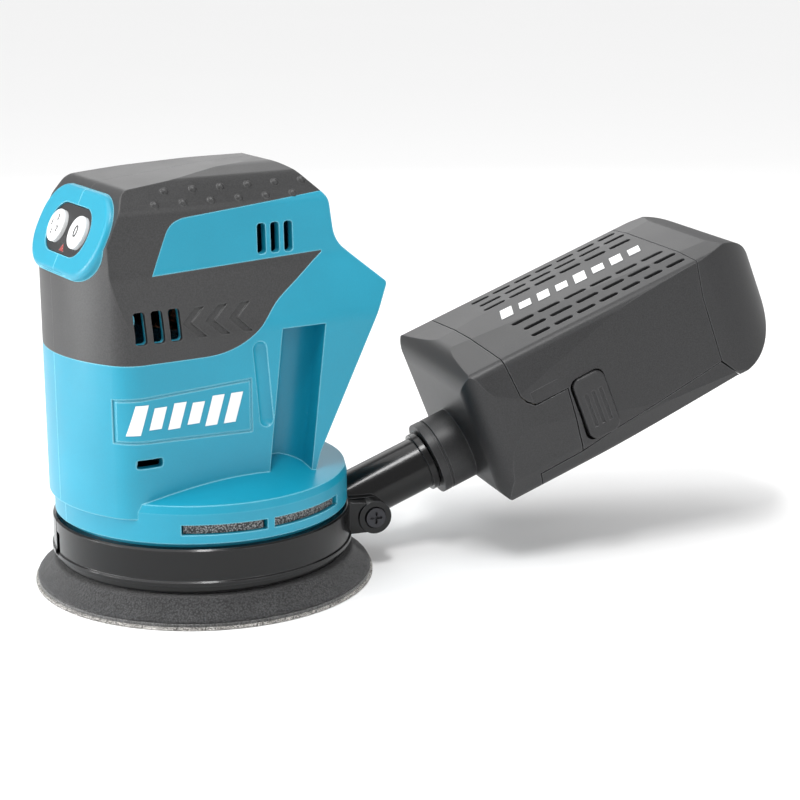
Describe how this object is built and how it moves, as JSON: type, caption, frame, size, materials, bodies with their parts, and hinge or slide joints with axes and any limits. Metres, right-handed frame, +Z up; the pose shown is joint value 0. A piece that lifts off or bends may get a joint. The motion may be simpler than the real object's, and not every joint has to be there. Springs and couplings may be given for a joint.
{
  "type": "random orbit sander",
  "caption": "Palm-grip cordless random orbit sander with round pad, soft grip, push-button panel and a detachable vented dust box on an angled nozzle.",
  "frame": {"origin": "centre of the abrasive disc's orbit on its working face, on the motor axis", "axes": "+Z up along the motor axis; -Y towards the switch panel; +X towards the tool's left side"},
  "size_m": [0.1387, 0.2844, 0.1536],
  "materials": {
    "blue_plastic": "satin",
    "soft_grip": "satin",
    "black_gloss": "gloss",
    "black_matte": "fine grain",
    "white_plastic": "satin",
    "foam": "matte",
    "abrasive": "grit",
    "hook_fabric": "nap",
    "steel": "bright",
    "black_steel": "blackened",
    "aluminium": "cast",
    "copper": "enamelled wire",
    "brass": "bright",
    "magnet": "matte",
    "carbon": "matte",
    "board_green": "solder mask",
    "felt": "felt",
    "card": "plain",
    "filter_paper": "plain",
    "lens": "clear",
    "wire": "smooth"
  },
  "bodies": {
    "housing": {"battery_leads": "wire", "bearing_plate": "aluminium", "board_parts": "black_matte", "brush_holders": "brass", "brush_springs": "steel", "button_switches": "black_matte", "carbon_brushes": "carbon", "control_board": "board_green", "grip_left": "soft_grip", "grip_right": "soft_grip", "housing_left": "blue_plastic", "housing_right": "blue_plastic", "housing_screws": "black_steel", "indicator_lens": "lens", "lower_bearing_balls": "steel", "lower_bearing_outer": "steel", "magnets": "magnet", "motor_leads": "wire", "motor_yoke": "steel", "plate_screws": "black_steel", "switch_board": "board_green", "switch_plate": "black_matte", "terminal_blades": "brass", "terminal_block": "black_matte", "upper_bearing_balls": "steel", "upper_bearing_outer": "steel"},
    "rotor": {"motor_shaft": "steel", "eccentric_hub": "steel", "pad_bearing_outer": "steel", "pad_bearing_balls": "steel", "dust_fan": "black_matte", "counterweight": "steel", "cooling_fan": "black_matte", "armature_core": "steel", "armature_windings": "copper", "commutator": "copper", "lower_bearing_inner": "steel", "upper_bearing_inner": "steel"},
    "pad": {"abrasive_disc": "abrasive", "hook_face": "hook_fabric", "backing_pad": "foam", "pad_plate": "black_matte", "pad_spindle": "steel", "pad_screw": "black_steel", "pad_washer": "steel", "pad_bearing_inner": "steel"},
    "on_key": {"on_button": "white_plastic"},
    "off_key": {"off_button": "white_plastic"},
    "nozzle": {"clamp_band": "black_gloss", "dust_nozzle": "black_gloss", "clamp_screw": "black_steel", "dust_seal": "felt"},
    "cap": {"box_cap": "black_matte"},
    "container": {"box_cover": "black_matte", "box_tray": "black_matte", "box_end": "black_matte", "filter_frame": "card", "filter_bag": "filter_paper"},
    "latch_a": {"latch_left": "black_matte"},
    "latch_b": {"latch_right": "black_matte"}
  },
  "joints": [
    {"name": "rotor_spin", "type": "hinge", "parent": "housing", "child": "rotor", "pos_m": [0, 0, 0.06], "axis": [0, 0, 1], "continuous": true},
    {"name": "pad_spin", "type": "hinge", "parent": "rotor", "child": "pad", "pos_m": [0.0014, 0, 0.02], "axis": [0, 0, 1], "continuous": true},
    {"name": "on_press", "type": "slide", "parent": "housing", "child": "on_key", "axis": [0, 0.8988, -0.4384], "range_m": [0, 0.0008], "stiffness_N_per_m": 600},
    {"name": "off_press", "type": "slide", "parent": "housing", "child": "off_key", "axis": [0, 0.8988, -0.4384], "range_m": [0, 0.0008], "stiffness_N_per_m": 600},
    {"name": "nozzle_swivel", "type": "hinge", "parent": "housing", "child": "nozzle", "pos_m": [0, 0, 0.02], "axis": [0, 0, 1], "range_deg": [-18, 18]},
    {"name": "cap_pull", "type": "slide", "parent": "nozzle", "child": "cap", "axis": [0.1896, 0.9076, 0.3746], "range_m": [0, 0.03]},
    {"name": "container_pull", "type": "slide", "parent": "cap", "child": "container", "axis": [0.1896, 0.9076, 0.3746], "range_m": [0, 0.06]},
    {"name": "latch_left_press", "type": "hinge", "parent": "container", "child": "latch_a", "pos_m": [0.06521, 0.1361, 0.06277], "axis": [0.0766, 0.3667, -0.9272], "range_deg": [0, 3], "stiffness_Nm_per_rad": 0.6},
    {"name": "latch_right_press", "type": "hinge", "parent": "container", "child": "latch_b", "pos_m": [-0.00527, 0.15082, 0.06277], "axis": [-0.0766, -0.3667, 0.9272], "range_deg": [0, 3], "stiffness_Nm_per_rad": 0.6}
  ]
}
